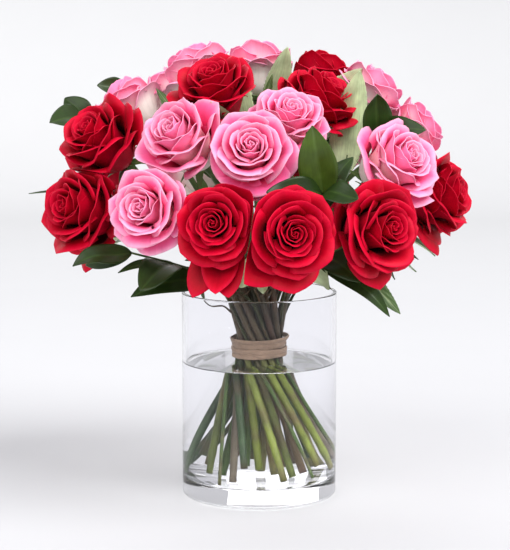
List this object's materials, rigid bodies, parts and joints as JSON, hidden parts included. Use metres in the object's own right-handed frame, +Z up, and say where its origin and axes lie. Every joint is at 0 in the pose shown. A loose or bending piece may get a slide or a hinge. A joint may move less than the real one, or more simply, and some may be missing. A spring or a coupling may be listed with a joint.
{
  "type": "rose bouquet in a vase",
  "caption": "Dome of red and pink cut roses with glossy ruscus leaves, tied in a spiral with raffia and standing in water in a clear glass cylinder vase.",
  "frame": {"origin": "centre of the vase's foot, on the surface it stands on", "axes": "+Z up along the vase's axis; -Y is the front of the bouquet"},
  "size_m": [0.4243, 0.3975, 0.4413],
  "materials": {
    "glass": "gloss",
    "water": "gloss",
    "raffia": "matte",
    "rose_stem": "satin",
    "red_petal": "matte",
    "pink_petal": "matte",
    "ruscus": "satin"
  },
  "bodies": {
    "root": {"vase": "glass", "water": "water", "tie": "raffia", "red_front_stem": "rose_stem", "red_front_bloom": "red_petal", "red_front_left_stem": "rose_stem", "red_front_left_bloom": "red_petal", "red_front_right_stem": "rose_stem", "red_front_right_bloom": "red_petal", "pink_low_left_stem": "rose_stem", "pink_low_left_bloom": "pink_petal", "red_low_left_stem": "rose_stem", "red_low_left_bloom": "red_petal", "red_low_right_stem": "rose_stem", "red_low_right_bloom": "red_petal", "pink_centre_stem": "rose_stem", "pink_centre_bloom": "pink_petal", "pink_mid_left_stem": "rose_stem", "pink_mid_left_bloom": "pink_petal", "red_mid_left_stem": "rose_stem", "red_mid_left_bloom": "red_petal", "pink_mid_right_stem": "rose_stem", "pink_mid_right_bloom": "pink_petal", "pink_upper_stem": "rose_stem", "pink_upper_bloom": "pink_petal", "red_crown_stem": "rose_stem", "red_crown_bloom": "red_petal", "red_upper_right_stem": "rose_stem", "red_upper_right_bloom": "red_petal", "pink_crown_left_stem": "rose_stem", "pink_crown_left_bloom": "pink_petal", "pink_crown_back_stem": "rose_stem", "pink_crown_back_bloom": "pink_petal", "red_crown_back_stem": "rose_stem", "red_crown_back_bloom": "red_petal", "pink_far_right_stem": "rose_stem", "pink_far_right_bloom": "pink_petal", "pink_right_stem": "rose_stem", "pink_right_bloom": "pink_petal", "pink_left_stem": "rose_stem", "pink_left_bloom": "pink_petal", "pink_back_left_stem": "rose_stem", "pink_back_left_bloom": "pink_petal", "red_back_low_right_stem": "rose_stem", "red_back_low_right_bloom": "red_petal", "red_back_low_stem": "rose_stem", "red_back_low_bloom": "red_petal", "pink_back_low_stem": "rose_stem", "pink_back_low_bloom": "pink_petal", "red_back_low_left_stem": "rose_stem", "red_back_low_left_bloom": "red_petal", "pink_back_stem": "rose_stem", "pink_back_bloom": "pink_petal", "red_back_stem": "rose_stem", "red_back_bloom": "red_petal", "ruscus_front_right": "ruscus", "ruscus_low_left": "ruscus", "ruscus_left": "ruscus", "ruscus_right": "ruscus", "ruscus_back": "ruscus"}
  },
  "joints": []
}
